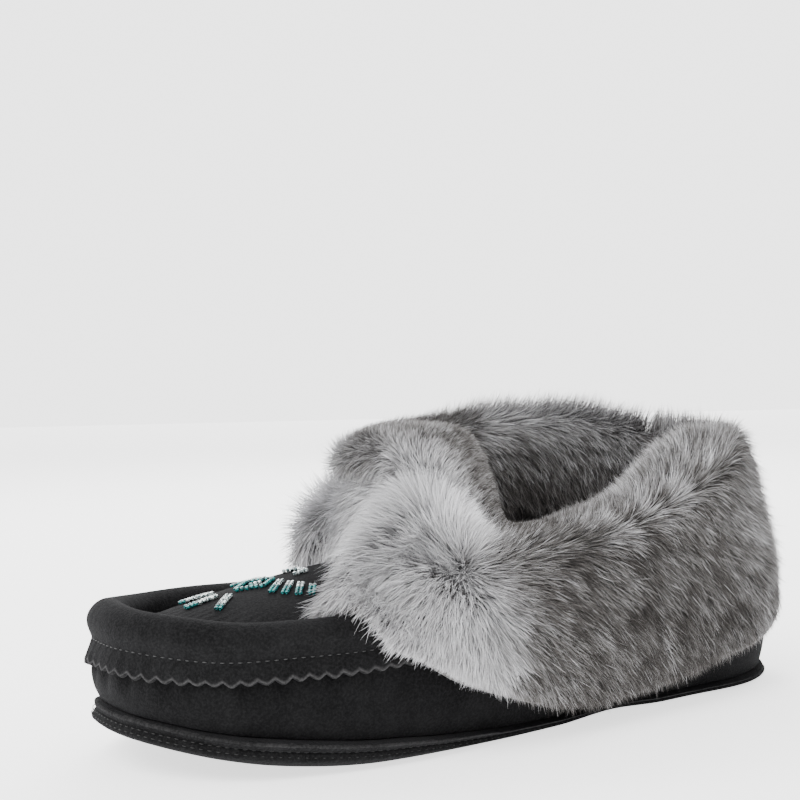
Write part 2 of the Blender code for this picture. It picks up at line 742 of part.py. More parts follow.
def main():
    clear_scene()
    collection = bpy.data.collections.new("beaded_slipper")
    bpy.context.scene.collection.children.link(collection)
    suede = make_material("suede", (0.018, 0.018, 0.019), 0.95)
    apron_suede = make_material("apron_suede", (0.020, 0.020, 0.022), 0.93)
    sole_suede = make_material("sole_suede", (0.016, 0.016, 0.017), 0.92)
    lining = make_material("lining", (0.055, 0.055, 0.058), 0.98)
    fur = make_material("fur", (0.36, 0.35, 0.36), 0.9)
    teal = make_material("teal_bead", (0.01, 0.20, 0.20), 0.12)
    white = make_material("white_bead", (0.70, 0.82, 0.80), 0.10)

    angles, spans = stations()
    order = sorted(range(len(angles)), key=lambda k: angles[k])
    around = angles[order]
    ring_order = list(range(len(around)))
    full = upper_grid(angles)
    steps = offset_directions(full)

    make_outsole(collection, sole_suede, around, ring_order)
    make_upper(collection, suede, full)
    apron = make_apron(collection, apron_suede, full, steps, spans)
    make_insole(collection, lining, around, ring_order)
    make_cuff(collection, fur, angles, full, steps, spans)

    bpy.context.view_layer.update()
    tree = BVHTree.FromObject(apron, bpy.context.evaluated_depsgraph_get())
    make_beads(collection, teal, white, tree)


main()
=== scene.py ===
import math

import bpy
import numpy as np
from mathutils import Matrix, Vector
from mathutils.bvhtree import BVHTree
from mathutils.kdtree import KDTree


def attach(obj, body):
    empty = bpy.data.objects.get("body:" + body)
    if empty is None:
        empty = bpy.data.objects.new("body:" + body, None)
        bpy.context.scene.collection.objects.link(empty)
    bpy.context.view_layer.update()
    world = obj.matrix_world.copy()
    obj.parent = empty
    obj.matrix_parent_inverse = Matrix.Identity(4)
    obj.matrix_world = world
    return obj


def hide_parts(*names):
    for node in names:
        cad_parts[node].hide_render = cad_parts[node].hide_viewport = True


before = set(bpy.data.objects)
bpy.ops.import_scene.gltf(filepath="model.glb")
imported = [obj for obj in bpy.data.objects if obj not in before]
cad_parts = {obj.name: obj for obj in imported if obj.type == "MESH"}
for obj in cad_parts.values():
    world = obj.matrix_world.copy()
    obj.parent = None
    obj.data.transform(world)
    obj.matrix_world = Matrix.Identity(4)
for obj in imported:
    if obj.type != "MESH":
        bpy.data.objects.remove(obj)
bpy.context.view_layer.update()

# The sole
# A padded sole of black suede, cut to the foot's outline over a soft core and sewn on from below.
# Its raised lip is the skin's raw cut edge: fuzzy, a little wavy and lighter than the face of the suede.
length = 0.252
ball_width = 0.098
heel_width = 0.069
toe_swing = 0.0025
origin_share = 0.62
seat_gap = 0.0003
sole_band = 0.009
toe_spring = 0.0105
arch_rise = 0.0012
lip_reach = 0.0011
outline_shares = (0.00, 0.10, 0.23, 0.40, 0.56, 0.70, 0.82, 0.925, 1.00)
outer_factors = (1.30, 1.35, 1.12, 0.93, 0.94, 1.07, 1.16, 1.20, 1.05)
inner_factors = (1.30, 1.34, 1.08, 0.85, 0.88, 1.06, 1.18, 1.22, 1.05)
profile_shares = (0.00, 0.15, 0.27, 0.37, 0.47, 0.60, 0.72, 0.82, 0.92, 1.00)
band_shares = (0.44, 0.38, 0.35, 0.35, 0.38, 0.54, 0.86, 1.00, 0.97, 0.92)
spring_shares = (0.00, 0.00, 0.00, 0.00, 0.00, 0.00, 0.00, 0.16, 0.55, 1.00)
arch_shares = (0.00, 0.00, 0.00, 1.00, 0.00, 0.00, 0.00, 0.00, 0.00, 0.00)


def read(keys, values, at):
    """A smooth reading of a table, level wherever two neighbours are equal."""
    keys, values = np.array(keys, float), np.array(values, float)
    slopes = np.gradient(values, keys)
    level = np.diff(values) == 0
    slopes[:-1][level] = 0
    slopes[1:][level] = 0
    at = np.clip(at, keys[0], keys[-1])
    low = np.clip(np.searchsorted(keys, at) - 1, 0, len(keys) - 2)
    span = keys[low + 1] - keys[low]
    u = (at - keys[low]) / span
    rise = (3 * u**2 - 2 * u**3) * (values[low + 1] - values[low])
    return (values[low] + rise + (u**3 - 2 * u**2 + u) * slopes[low] * span
            + (u**3 - u**2) * slopes[low + 1] * span)


def ease(value, low, high):
    """Zero below low, one above high and a smooth step between."""
    u = np.clip((value - low) / (high - low), 0, 1)
    return u * u * (3 - 2 * u)


def share_of(angles):
    """Share of the length at an angle round the outline: 0 at the heel, 1 at the toe."""
    return 0.5 - 0.5 * np.cos(angles)


def edge_of(angles):
    """The last's outline from above."""
    share = share_of(angles)
    ball = ease(share, 0.15, 0.60)
    half = (ball_width * ball + heel_width * (1 - ball)) / 2
    outer = np.sin(angles) >= 0
    factor = np.where(outer, read(outline_shares, outer_factors, share),
                      read(outline_shares, inner_factors, share))
    x = np.where(outer, 1, -1) * half * factor * np.abs(np.sin(angles)) ** 0.75
    x = x - toe_swing * ease(share, 0.55, 1.0)
    return np.stack([x, (origin_share - share) * length], axis=-1)


def out_of(angles):
    """The direction out of the outline, from above."""
    chord = edge_of(angles + 0.02) - edge_of(angles - 0.02)
    normal = np.stack([-chord[:, 1], chord[:, 0]], axis=-1)
    return normal / np.linalg.norm(normal, axis=1, keepdims=True)


def spaced(start, stop, count):
    """Angles round the outline at equal steps of its length."""
    fine = np.linspace(0, 2 * math.pi, 2881)
    steps = np.linalg.norm(np.diff(edge_of(fine), axis=0), axis=1)
    run = np.concatenate([[0], np.cumsum(steps)])
    ends = np.interp([start, stop], fine, run)
    return np.interp(np.linspace(ends[0], ends[1], count), run, fine)


def whole_round(count):
    """Angles once round the shoe, the inner side as many as the outer and in line with them."""
    half = spaced(0, math.pi, count // 2 + 1)
    return np.concatenate([half, 2 * math.pi - half[-2:0:-1]])


def ground(share):
    """Height of the sole's underside: it springs up at the toe and arches before the heel."""
    return (toe_spring * read(profile_shares, spring_shares, share)
            + arch_rise * read(profile_shares, arch_shares, share))


def sole_top(share):
    """Height of the sole's upper edge."""
    return ground(share) + sole_band * read(profile_shares, band_shares, share)


def between(chains, rows):
    """Points at rows that need not be whole, on a smooth chain through each section's own points."""
    count = chains.shape[1]
    padded = np.concatenate([2 * chains[:, :1] - chains[:, 1:2], chains,
                             2 * chains[:, -1:] - chains[:, -2:-1]], axis=1)
    rows = np.broadcast_to(rows, (len(chains), np.shape(rows)[-1]))
    low = np.clip(rows.astype(int), 0, count - 2)
    u = (rows - low)[..., None]
    pick = np.arange(len(chains))[:, None]
    a, b, c, d = (padded[pick, low + k] for k in range(4))
    return (2 * b + (c - a) * u + (2 * a - 5 * b + 4 * c - d) * u**2
            + (3 * b - a - 3 * c + d) * u**3) / 2


def centre_of(ring):
    """Half way across the shoe at each point of a ring round it."""
    return (ring[:, 0] + ring[np.arange(len(ring)) * -1 % len(ring), 0]) / 2


def wander(rng, count, width, size):
    """Random heights on a closed line, smoothed over a number of its steps."""
    draws = np.tile(rng.normal(0, 1, count), 3)
    return np.convolve(draws, np.hanning(width), "same")[count:2 * count] * size


def drape(name, points, closed=True):
    """A grid with a vertex laid on each point of a table, sewn end to end where it is closed."""
    if closed:
        points = np.concatenate([points, points[:1]])
    lines, steps = points.shape[:2]
    bpy.ops.object.select_all(action="DESELECT")
    bpy.ops.mesh.primitive_grid_add(x_subdivisions=steps - 1, y_subdivisions=lines - 1)
    piece = bpy.context.object
    piece.name = name
    piece.data.name = name
    piece.data.vertices.foreach_set("co", points.ravel())
    bpy.ops.object.mode_set(mode="EDIT")
    bpy.ops.mesh.select_all(action="SELECT")
    bpy.ops.mesh.remove_doubles(threshold=0.000002)
    bpy.ops.mesh.normals_make_consistent(inside=False)
    bpy.ops.object.mode_set(mode="OBJECT")
    bpy.ops.object.shade_smooth()
    return piece


class Strand:
    """A shader socket that takes part in sums, and makes any other node of its material."""

    def __init__(self, tree, socket=None):
        self.tree = tree
        self.socket = socket

    def make(self, kind, settings=None, inputs=None, output=0):
        node = self.tree.nodes.new(kind)
        for name, value in (settings or {}).items():
            if name == "stops":
                for _ in range(len(value) - 2):
                    node.color_ramp.elements.new(0.5)
                for stop, (place, colour) in zip(node.color_ramp.elements, value):
                    stop.position = place
                    stop.color = (*colour, 1)
            else:
                setattr(node, name, value)
        for name, value in (inputs or {}).items():
            if isinstance(value, Strand):
                self.tree.links.new(value.socket, node.inputs[name])
            elif value is not None:
                node.inputs[name].default_value = value
        return Strand(self.tree, node.outputs[output])

    def sum(self, operation, first, second=None):
        return self.make("ShaderNodeMath", {"operation": operation}, {0: first, 1: second})

    def __add__(self, other):
        return self.sum("ADD", self, other)

    def __sub__(self, other):
        return self.sum("SUBTRACT", self, other)

    def __rsub__(self, other):
        return self.sum("SUBTRACT", other, self)

    def __mul__(self, other):
        return self.sum("MULTIPLY", self, other)

    __radd__ = __add__

    def blend(self, first, second):
        """The first colour where this is 0 and the second where it is 1."""
        colours = [(*c, 1) if isinstance(c, tuple) else c for c in (first, second)]
        return self.make("ShaderNodeMix", {"data_type": "RGBA"},
                         {0: self, 6: colours[0], 7: colours[1]}, output=2)

    def step(self, low, high):
        """A smooth step of this value from 0 at low to 1 at high."""
        return self.make("ShaderNodeMapRange", {"interpolation_type": "SMOOTHSTEP"},
                         {0: self, 1: low, 2: high, 3: 0.0, 4: 1.0})

    def cloud(self, scale, detail=3.0, roughness=0.55):
        """Noise at a scale, read from this place."""
        return self.make("ShaderNodeTexNoise", None, {"Vector": self, "Scale": scale, "Detail": detail,
                                                      "Roughness": roughness})


def new_finish(name, **constants):
    """A material, its Principled node with the given constants, and a strand to work from."""
    material = bpy.data.materials.new(name)
    material.use_nodes = True
    shader = material.node_tree.nodes["Principled BSDF"]
    for socket, value in constants.items():
        shader.inputs[socket.replace("_", " ").title()].default_value = value
    return material, shader, Strand(material.node_tree)


def join(strand, shader, socket):
    """Link a strand to one socket of a shader."""
    strand.tree.links.new(strand.socket, shader.inputs[socket])


def suede(name, deep, face, worn=None, raw=(0.5, 0.5), nap=0.6):
    """Suede with brushed clouds and a fine nap, worn light below raw[0] to raw[1] of the map's U."""
    material, shader, work = new_finish(name, sheen_weight=0.03, sheen_roughness=0.6)
    shader.inputs["Sheen Tint"].default_value = (0.7, 0.7, 0.75, 1)
    shader.inputs["Specular IOR Level"].default_value = 0.05
    place = work.make("ShaderNodeTexCoord", output="Object")
    brushed = place.cloud(55, 5.0, 0.65).step(0.32, 0.70)
    speckle = place.cloud(1350, 3.0, 0.65).step(0.36, 0.72)
    pile = place.cloud(700, 4.0, 0.75)
    colour = (brushed * 0.40 + speckle * 0.60).blend(deep, face)
    height = pile * 0.65 + speckle * 0.35
    if worn:
        chart = work.make("ShaderNodeTexCoord", output="UV")
        along = work.make("ShaderNodeSeparateXYZ", None, {0: chart})
        ragged = (place.cloud(260, 2.0) - 0.5) * 0.5 * (raw[1] - raw[0])
        edge = 1 - (along + ragged).step(*raw)
        colour = (edge * (0.55 + speckle * 0.45)).blend(colour, worn)
        height = height + edge * place.cloud(1900, 2.0) * 0.8
    join(colour, shader, "Base Color")
    join(0.90 + brushed * 0.1, shader, "Roughness")
    bump = work.make("ShaderNodeBump", None, {"Strength": nap, "Distance": 0.0006, "Height": height})
    join(bump, shader, "Normal")
    return material


sole_rises = (0.00, 0.06, 0.20, 0.40, 0.56, 0.65, 0.73, 0.95, 1.00)
sole_insets = (1.44, 0.61, 0.18, -0.05, 0.00, 0.03, 0.00, 0.00, 0.83)
sole_lips = (0.0, 0.0, 0.0, 0.0, 0.0, 0.0, 0.5, 1.0, 0.0)
end_tuck = 0.0014
sole_seams = ((5.1, 0.0004), (3.5, 0.0003))
around = whole_round(440)
share = share_of(around)
edge, out = edge_of(around), out_of(around)
low, high = ground(share), sole_top(share)
tuck_in = (ease(share, 0.86, 0.97) + 1 - ease(share, 0.02, 0.10))[:, None]
chains = []
for rise, inset, lip in zip(sole_rises, sole_insets, sole_lips):
    back_in = sole_band * inset - lip_reach * lip * (1 - tuck_in) + end_tuck * tuck_in * ease(rise, 0.2, 0.9)
    chains.append(np.column_stack([edge - out * back_in, low + (high - low) * rise]))
chains = np.stack(chains, axis=1)
levels = np.concatenate([np.linspace(0, 4, 11), np.linspace(4, 8, 29)[1:]])
side = between(chains, levels)
rng = np.random.default_rng(4)
slow = wander(rng, len(around), 15, 0.36)
quick = wander(rng, len(around), 5, 0.55)
lip = np.exp(-((levels - 6.6) / 0.8) ** 2)
side[:, :, 2] += ((slow * 0.00022 + quick * 0.00008)[:, None]) * lip
side[:, :, :2] += (out * (slow * 0.00018 + quick * 0.00010)[:, None])[:, None] * lip[None, :, None]
for seam_level, depth in sole_seams:
    groove = depth * np.exp(-((levels - seam_level) / 0.28) ** 2)
    side[:, :, :2] -= out[:, None] * groove[None, :, None]
middle = np.stack([side[:, 0] * [0.5, 1, 1], side[:, 0] * [0, 1, 1]], axis=1)
cover = np.stack([side[:, -1] * [0.5, 1, 1], side[:, -1] * [0, 1, 1]], axis=1)
centre = centre_of(side[:, 0])
for level in (middle, cover):
    level[:, 0, 0] += centre * 0.5
    level[:, 1, 0] += centre
sole = drape("padded_sole", np.concatenate([middle[:, ::-1], side, cover], axis=1))
sole.data.materials.append(suede("sole_suede", (0.0026, 0.0026, 0.0027), (0.0160, 0.0160, 0.0164), nap=0.9))

# The lip's outward faces near its top get the finish of a raw edge.
lip_rise = 0.84
level_normal = 0.97
lip_finish = suede("raw_edge", (0.007, 0.007, 0.0072), (0.036, 0.0355, 0.036), nap=1.0)
sole.data.materials.append(lip_finish)
for face in sole.data.polygons:
    x, y, z = face.center
    at = np.array(origin_share - y / length)
    rise = (z - float(ground(at))) / (float(sole_top(at)) - float(ground(at)))
    if rise > lip_rise and abs(face.normal.z) < level_normal:
        face.material_index = 1
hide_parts("outsole")
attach(sole, "root")

# The upper
# A hollow moccasin upper of black suede, folded up from the sole all round. It is lasted over the foot,
# so that its wall swells and puckers softly under the apron, and it is open at the top for the foot.
roll_height = 0.031
roll_width = 0.013
instep_height = 0.057
side_height = 0.056
heel_height = 0.062
mouth_length = 0.118
mouth_width = 0.060
mouth_back = 0.013
mouth_lead = 0.55
vamp_span = (0.50, 0.66)
upper_wall = 0.0018
shoulder_shares = (1.30, 1.34, 1.38, 1.40, 1.36, 1.26, 1.14, 1.04, 0.94, 0.90)
skirt_shares = (0.54, 0.54, 0.54, 0.58, 0.62, 0.64, 0.62, 0.58, 0.50, 0.45)
vamp_rises = (0.00, 0.18, 0.36, 0.54, 0.72, 0.89, 1.00, 0.96, 0.78)
vamp_insets = (0.215, 0.080, 0.045, 0.110, 0.245, 0.170, 0.430, 0.755, 1.000)
quarter_rises = (0.00, 0.16, 0.33, 0.48, 0.66, 0.81, 0.90, 0.96, 1.00)
quarter_insets = (0.170, 0.060, 0.015, 0.030, 0.125, 0.200, 0.290, 0.385, 0.475)
skirt_row, seam_row, foot_row, rim_row = 3, 4, 8, 12
pucker_pitch = 12.5
pucker_depth = 0.0017
swell_height = 0.00025


def turn_of(angles):
    """The angle round the mouth that goes with an angle round the outline."""
    return angles + mouth_lead * np.sin(angles)


def mouth_of(angles):
    """The rim of the mouth where a section ends, and the direction out from it."""
    turn = turn_of(angles)
    x = np.sign(np.sin(turn)) * mouth_width / 2 * np.abs(np.sin(turn)) ** 0.9
    y = origin_share * length - mouth_back - mouth_length / 2 + mouth_length / 2 * np.cos(turn)
    front = np.maximum(0, -np.cos(turn)) ** 2
    back = np.maximum(0, np.cos(turn)) ** 2
    z = side_height + (instep_height - side_height) * front + (heel_height - side_height) * back
    aside = np.stack([np.sin(turn) / mouth_width, np.cos(turn) / mouth_length, 0 * turn], axis=-1)
    return np.stack([x, y, z], axis=-1), aside / np.linalg.norm(aside, axis=1, keepdims=True)


def sections(angles):
    """The upper's face at each angle: nine points up the wall and four more over to the mouth."""
    share = share_of(angles)
    vamp = ease(share, *vamp_span)
    edge, out = edge_of(angles), out_of(angles)
    shoulder = roll_height * read(profile_shares, shoulder_shares, share)
    skirt = read(profile_shares, skirt_shares, share)
    base = sole_top(share) + seat_gap
    chains = []
    fold = vamp_rises[skirt_row]
    for rise_v, inset_v, rise_q, inset_q in zip(vamp_rises, vamp_insets, quarter_rises, quarter_insets):
        if rise_v <= fold:
            rise_v = skirt * rise_v / fold
        else:
            rise_v = skirt + (1 - skirt) * (rise_v - fold) / (1 - fold)
        rise = rise_v * vamp + rise_q * (1 - vamp)
        inset = roll_width * (inset_v * vamp + inset_q * (1 - vamp))
        chains.append(np.column_stack([edge - out * inset[:, None], base + shoulder * rise]))
    foot = chains[-1]
    rim = mouth_of(angles)[0]
    reach = np.linalg.norm(rim - foot, axis=1)
    for u in (0.25, 0.50, 0.75, 1.00):
        point = foot + (rim - foot) * u
        point[:, 2] += 0.02 * reach * 4 * u * (1 - u)
        chains.append(point)
    return np.stack(chains, axis=1)


def facing(points, closed=True):
    """The direction out of a surface at each point of its table."""
    if closed:
        along = np.roll(points, -1, axis=0) - np.roll(points, 1, axis=0)
    else:
        along = np.gradient(points, axis=0)
    normal = np.cross(np.gradient(points, axis=1), along)
    return normal / np.maximum(np.linalg.norm(normal, axis=2, keepdims=True), 1e-12)


def run_of(angles):
    """Distance along the outline to each angle, in millimetres."""
    steps = np.linalg.norm(np.diff(edge_of(angles), axis=0), axis=1)
    return 1000 * np.concatenate([[0], np.cumsum(steps)])


def thicken(piece, wall, inner=0, rim=0):
    """Give the active piece a wall inwards, with the steps to the materials of its lining and its rim."""
    bpy.ops.object.modifier_add(type="SOLIDIFY")
    skin = piece.modifiers[-1]
    skin.thickness = wall
    skin.offset = -1
    skin.material_offset = inner
    skin.material_offset_rim = rim
    bpy.ops.object.modifier_apply(modifier=skin.name)


around = whole_round(440)
rows = np.concatenate([np.linspace(0, foot_row, 35), np.linspace(foot_row, rim_row, 9)[1:]])
wall = between(sections(around), rows)
out = facing(wall)
run = run_of(around)
rng = np.random.default_rng(11)
tuck = np.zeros(len(around))
puckers = np.arange(6, run[-1], pucker_pitch)
for pucker in puckers + rng.uniform(-3.5, 3.5, len(puckers)):
    tuck += rng.uniform(0.2, 1.0) * np.exp(-((run - pucker) / rng.uniform(1.6, 3.0)) ** 2)
forward = ease(share_of(around), 0.42, 0.56)
hang = ease(rows, 0.4, 2.9) * (1 - ease(rows, 3.3, 4.2))
swell = np.sin(run / 17.0)[:, None] * ease(rows, 0.2, 1.4) * (1 - ease(rows, 2.2, 3.2))
wall -= out * (pucker_depth * (tuck * forward)[:, None] * hang)[..., None]
wall += out * (swell_height * swell * forward[:, None])[..., None]
upper = drape("suede_upper", wall)
upper.data.materials.append(suede("upper_suede", (0.0018, 0.0018, 0.0019), (0.0122, 0.0122, 0.0126)))
lining, shader, work = new_finish("lining_pile", roughness=0.95, sheen_weight=0.2)
place = work.make("ShaderNodeTexCoord", output="Object")
tufts = place.cloud(420, 3.0, 0.7)
join(tufts.step(0.3, 0.7).blend((0.035, 0.033, 0.033), (0.10, 0.095, 0.094)), shader, "Base Color")
bump = work.make("ShaderNodeBump", None, {"Strength": 0.7, "Distance": 0.0008, "Height": tufts})
join(bump, shader, "Normal")
upper.data.materials.append(lining)
thicken(upper, upper_wall, inner=1)
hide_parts("upper")
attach(upper, "root")

# The apron
# A second skin of suede laid over the vamp. It is gathered up into a soft roll round the sunken plug, and
# its skirt hangs outside the wall with a pinked, raw edge. A machine seam holds it down above the teeth.
apron_back = 0.47
apron_wall = 0.0016
apron_skin = 0.8
tooth_pitch = 4.9
tooth_depth = 0.0016
per_tooth = 7
stitch_pitch = 2.6
seam_depth = 0.0004
crease_depth = 0.0010
first = math.acos(1 - 2 * apron_back)
teeth = round(run_of(spaced(first, 2 * math.pi - first, 400))[-1] / tooth_pitch)
front = spaced(first, 2 * math.pi - first, teeth * per_tooth + 1)
run = run_of(front)
chains = sections(front)
swing = (np.arange(len(front)) % per_tooth) / per_tooth
tooth = 1 - np.abs(2 * swing - 1)
tooth = ease(tooth, -0.25, 1.05)
rng = np.random.default_rng(7)
tooth *= np.repeat(rng.uniform(0.75, 1.15, teeth + 1), per_tooth)[:len(front)]
pitch = np.linalg.norm(chains[:, skirt_row] - chains[:, skirt_row - 1], axis=1)
start = skirt_row - tooth * tooth_depth / pitch
steps = np.concatenate([np.linspace(0, 0.30, 16), np.linspace(0.30, 0.56, 14)[1:],
                        np.linspace(0.56, 1, 9)[1:]])
rows = start[:, None] + (rim_row - start)[:, None] * steps
seat = between(chains, rows)
even = np.broadcast_to(skirt_row + (rim_row - skirt_row) * steps, rows.shape)
out = facing(between(chains, even), closed=False)
lift = np.full(rows.shape, seat_gap + apron_wall)
seam = np.exp(-((rows - seam_row) / 0.16) ** 2)
pinch = np.cos(2 * math.pi * run / stitch_pitch)[:, None]
lift -= seam * (seam_depth + 0.00010 * pinch)
crease = np.exp(-((rows - foot_row - 0.05) / 0.22) ** 2)
lift -= crease * crease_depth
flare = np.clip(1 - (rows - start[:, None]) / 0.75, 0, 1) ** 1.5
ripple = 0.5 + 0.5 * np.sin(run / 5.1 + 1.3 * np.sin(run / 13.0))
lift += flare * (0.0002 + 0.0006 * ripple[:, None])
roll_waves = np.sin(run / 8.3 + 0.9 * np.sin(run / 23.0))[:, None] * np.exp(-((rows - 6.2) / 1.4) ** 2)
lift += 0.00022 * roll_waves
face = seat + out * lift[..., None]
apron = drape("beaded_apron", face, closed=False)
apron.data.materials.append(suede("apron_suede", (0.0024, 0.0024, 0.0025), (0.0150, 0.0150, 0.0155),
                                  worn=(0.054, 0.053, 0.054), raw=(0.004, 0.030)))
apron.data.materials.append(lip_finish)
plug = Vector((0, -0.03, 0.05))
middle_face = min(apron.data.polygons, key=lambda face: (plug - face.center).length)
if middle_face.normal.z < 0:
    bpy.ops.object.mode_set(mode="EDIT")
    bpy.ops.mesh.flip_normals()
    bpy.ops.object.mode_set(mode="OBJECT")
thicken(apron, apron_wall * apron_skin, rim=1)
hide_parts("apron")
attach(apron, "root")


# The seam of the apron and the two rows in the sole
# Waxed grey thread, machine sewn in short stitches that sink a little into the suede. Each one shows as
# a small dash whose ends turn down, light on the apron and dull on the sole.
apron_stitch = (0.0015, 0.00034)
sole_stitch = (0.0014, 0.00032)
stitch_sink = 0.00020
sole_stitch_rows = ((0.66, 0.00040), (0.49, -0.00005))


def repeat(name, model, origins, along, up, colours=None):
    """Copies of one modelled piece in a single mesh, each at its place, along its run and off its seat."""
    count = len(model.data.vertices)
    base = np.empty(count * 3)
    model.data.vertices.foreach_get("co", base)
    base = base.reshape(-1, 3)
    faces = np.array([face.vertices[:] for face in model.data.polygons])
    along = along / np.linalg.norm(along, axis=1, keepdims=True)
    side = np.cross(up, along)
    side /= np.linalg.norm(side, axis=1, keepdims=True)
    up = np.cross(along, side)
    axes = np.stack([along, side, up], axis=1)
    points = origins[:, None] + np.einsum("vk,nkj->nvj", base, axes)
    every = faces[None] + count * np.arange(len(origins))[:, None, None]
    mesh = bpy.data.meshes.new(name)
    mesh.from_pydata(points.reshape(-1, 3).tolist(), [], every.reshape(-1, faces.shape[1]).tolist())
    mesh.polygons.foreach_set("use_smooth", np.ones(len(mesh.polygons), bool))
    if colours is not None:
        mesh.polygons.foreach_set("material_index", np.repeat(colours, len(faces)).astype(np.int32))
    bpy.data.objects.remove(model, do_unlink=True)
    piece = bpy.data.objects.new(name, mesh)
    bpy.context.collection.objects.link(piece)
    return piece


def stitch_model(size, thick):
    """One stitch: a short cord with its ends turned down."""
    bpy.ops.object.select_all(action="DESELECT")
    bpy.ops.mesh.primitive_uv_sphere_add(segments=6, ring_count=4, radius=0.5)
    model = bpy.context.object
    bpy.ops.object.mode_set(mode="EDIT")
    bpy.ops.mesh.select_all(action="SELECT")
    bpy.ops.transform.resize(value=(size, thick, thick))
    bpy.ops.mesh.quads_convert_to_tris()
    bpy.ops.object.mode_set(mode="OBJECT")
    for vert in model.data.vertices:
        vert.co.z -= 0.6 * thick * (2 * vert.co.x / size) ** 2
    return model


def thread_finish(name, roughness, deep, bright):
    """Thread whose tone wanders a little from stitch to stitch."""
    material, shader, work = new_finish(name, roughness=roughness)
    place = work.make("ShaderNodeTexCoord", output="Object")
    join(place.cloud(900).blend(deep, bright), shader, "Base Color")
    return material


marks = np.arange(run[0] + 3, run[-1] - 3, stitch_pitch)
at = np.interp(marks, run, front)
marked = sections(at)
seam_line = between(marked, np.array([float(seam_row)]))[:, 0]
seam_out = facing(between(marked, np.array([seam_row - 0.2, seam_row, seam_row + 0.2])), closed=False)[:, 1]
seam_line = seam_line + seam_out * (seat_gap + apron_wall - stitch_sink)
stitches = repeat("apron_stitches", stitch_model(*apron_stitch), seam_line,
                  np.gradient(seam_line, axis=0), seam_out)
waxed = thread_finish("waxed_thread", 0.55, (0.010, 0.010, 0.0105), (0.045, 0.045, 0.046))
stitches.data.materials.append(waxed)
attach(stitches, "root")

sole_marks = spaced(0, 2 * math.pi - 0.001, 240)
edge, out, share = edge_of(sole_marks), out_of(sole_marks), share_of(sole_marks)
low, high = ground(share), sole_top(share)
places, lines, ups = [], [], []
for rise, inset in sole_stitch_rows:
    line = np.column_stack([edge - out * inset, low + (high - low) * rise])
    places.append(line)
    lines.append(np.roll(line, -1, axis=0) - np.roll(line, 1, axis=0))
    ups.append(np.column_stack([out, 0.1 + 0 * share]))
sole_stitches = repeat("sole_stitches", stitch_model(*sole_stitch), np.concatenate(places),
                       np.concatenate(lines), np.concatenate(ups))
dull = thread_finish("dull_thread", 0.7, (0.002, 0.002, 0.002), (0.014, 0.014, 0.014))
sole_stitches.data.materials.append(dull)
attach(sole_stitches, "root")

# The insole
# A soft sock of foam under a short grey pile, laid loose in the upper. It dips a little where the heel
# and the ball of the foot press, and its edge is rolled over.
insole_pad = 0.0042
insole_gap = 0.0006
insole_dip = 0.0006
insole_rises = (0.0, 0.0, 0.7, 1.0, 0.9)
insole_insets = (0.95, 0.00, 0.00, 0.38, 2.86)
around = whole_round(240)
share, edge, out = share_of(around), edge_of(around), out_of(around)
base = sole_top(share) + seat_gap
inner = roll_width * vamp_insets[0] + upper_wall + insole_gap
chains = np.stack([np.column_stack([edge - out * (inner + insole_pad * inset), base + insole_pad * rise])
                   for rise, inset in zip(insole_rises, insole_insets)], axis=1)
side = between(chains, np.linspace(0, 4, 17))
centre = centre_of(side[:, 0])
layers = [side]
for end, keep in ((0, 0.5), (0, 0.0), (-1, 0.6), (-1, 0.3), (-1, 0.0)):
    level = side[:, end].copy()
    level[:, 0] = centre + (level[:, 0] - centre) * keep
    if end:
        level[:, 2] -= insole_dip * (1 - keep) * (1 - np.cos(around * 2))
        layers.append(level[:, None])
    else:
        layers.insert(0, level[:, None])
insole = drape("soft_insole", np.concatenate(layers, axis=1))
insole.data.materials.append(lining)
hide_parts("insole")
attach(insole, "root")

# The fur cuff's skin
# Dressed rabbit skin, sewn round the mouth with the fur out and turned over the rim. The down on it is
# dense and dark, and it carries the longer hair. A short dart gathers it on each side, in front.
fur_depth = 0.017
fur_crest = 0.098
skin_lift = 0.0007
hem_lift = 0.0012
mouth_lift = 0.0014
heel_droop = 0.13
hem_shares = (0.00, 0.05, 0.12, 0.20, 0.32, 0.44, 0.50, 0.56, 0.61,
              0.65, 0.69, 0.73, 0.77, 0.82, 0.87, 0.92, 1.00)
outer_hems = (2.60, 2.45, 1.80, 1.45, 0.80, 0.65, 1.00, 1.50, 1.85,
              2.30, 3.20, 4.70, 7.20, 9.10, 9.90, 10.40, 10.80)
inner_hems = (2.60, 2.45, 1.80, 1.45, 0.90, 0.70, 1.05, 2.80, 5.20,
              7.20, 8.20, 8.90, 9.40, 9.90, 10.30, 10.60, 10.80)
cuff_angles = (0.0, 45.0, 80.0, 106.0, 130.0, 144.0, 162.0, 180.0)
cuff_depths = (0.14, 0.28, 0.80, 1.00, 0.95, 1.20, 1.95, 2.15)
cuff_low_depths = (0.10, 0.18, 0.48, 0.60, 0.60, 0.62, 1.00, 1.20)
cuff_shoulders = (0.08, 0.18, 0.42, 0.52, 0.52, 0.75, 1.50, 1.75)
cuff_reaches = (0.28, 0.30, 0.29, 0.29, 0.24, 0.28, 0.34, 0.40)
outer_crests = (0.97, 0.98, 0.91, 0.70, 0.65, 0.65, 0.97, 1.01)
inner_crests = (0.97, 0.98, 1.00, 1.00, 0.99, 0.99, 1.00, 1.01)


